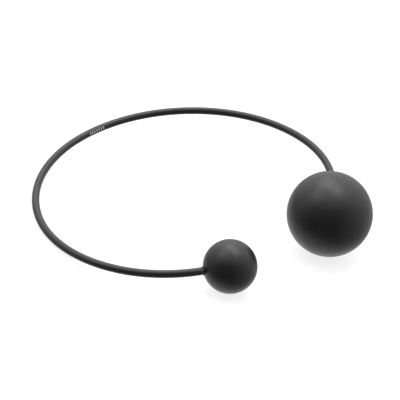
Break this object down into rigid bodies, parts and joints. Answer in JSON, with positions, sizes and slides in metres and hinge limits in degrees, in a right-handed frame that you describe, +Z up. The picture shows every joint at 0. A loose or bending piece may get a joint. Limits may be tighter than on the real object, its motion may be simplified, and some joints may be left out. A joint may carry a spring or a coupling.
{
  "type": "case opening friction ball",
  "caption": "Springy C-shaped hoop of sleeved wire, assumed to go round the neck, with a large and a small rubber friction ball on its ends, for gripping and turning screw-on watch case backs.",
  "frame": {"origin": "on the surface it lies on, under the middle of the whole object's box, as it rests on both balls and the hoop's left side", "axes": "+X from the hoop's left side towards the large ball, +Y from the small ball's side towards the hoop's back, +Z up; the hoop's own plane leans 8 degrees"},
  "size_m": [0.1582, 0.1478, 0.0399],
  "materials": {
    "ball_rubber": "matt black moulded rubber",
    "sleeve": "satin black drawn sleeving",
    "spring_steel": "drawn spring wire",
    "bush_plastic": "black moulded plastic",
    "collar_brass": "turned brass"
  },
  "bodies": {
    "hoop_back": {"sleeve_back": "sleeve", "spring_wire_back": "spring_steel"},
    "large_ball_arm": {"sleeve_large_arm": "sleeve", "spring_wire_large_arm": "spring_steel", "large_stop_collar": "collar_brass"},
    "small_ball_arm": {"sleeve_small_arm": "sleeve", "spring_wire_small_arm": "spring_steel", "small_stop_collar": "collar_brass"},
    "large_bush": {"large_ball_bush": "bush_plastic"},
    "small_bush": {"small_ball_bush": "bush_plastic"},
    "large_ball": {"large_ball": "ball_rubber"},
    "small_ball": {"small_ball": "ball_rubber"}
  },
  "joints": [
    {"name": "large_arm_flex", "type": "hinge", "parent": "hoop_back", "child": "large_ball_arm", "pos_m": [0.00862, 0.07033, 0.01629], "axis": [-0.136, -0.034, 0.9901], "range_deg": [-7.5, 21], "stiffness_Nm_per_rad": 0.73},
    {"name": "small_arm_flex", "type": "hinge", "parent": "hoop_back", "child": "small_ball_arm", "pos_m": [-0.07595, -0.01322, 0.0018], "axis": [0.136, 0.034, -0.9901], "range_deg": [-7.5, 21], "stiffness_Nm_per_rad": 0.73},
    {"name": "large_ball_twist", "type": "hinge", "parent": "large_ball_arm", "child": "large_bush", "pos_m": [0.05918, -0.02405, 0.01999], "axis": [-0.1493, -0.9873, -0.0545], "continuous": true},
    {"name": "small_ball_twist", "type": "hinge", "parent": "small_ball_arm", "child": "small_bush", "pos_m": [0.01218, -0.06167, 0.01224], "axis": [0.9678, 0.2089, 0.1401], "continuous": true},
    {"name": "large_ball_pull", "type": "slide", "parent": "large_bush", "child": "large_ball", "axis": [-0.1493, -0.9873, -0.0545], "range_m": [0, 0.016]},
    {"name": "small_ball_pull", "type": "slide", "parent": "small_bush", "child": "small_ball", "axis": [0.9678, 0.2089, 0.1401], "range_m": [0, 0.016]}
  ],
  "couplings": [
    {"joint": "small_arm_flex", "follows": "large_arm_flex", "ratio": 1}
  ]
}
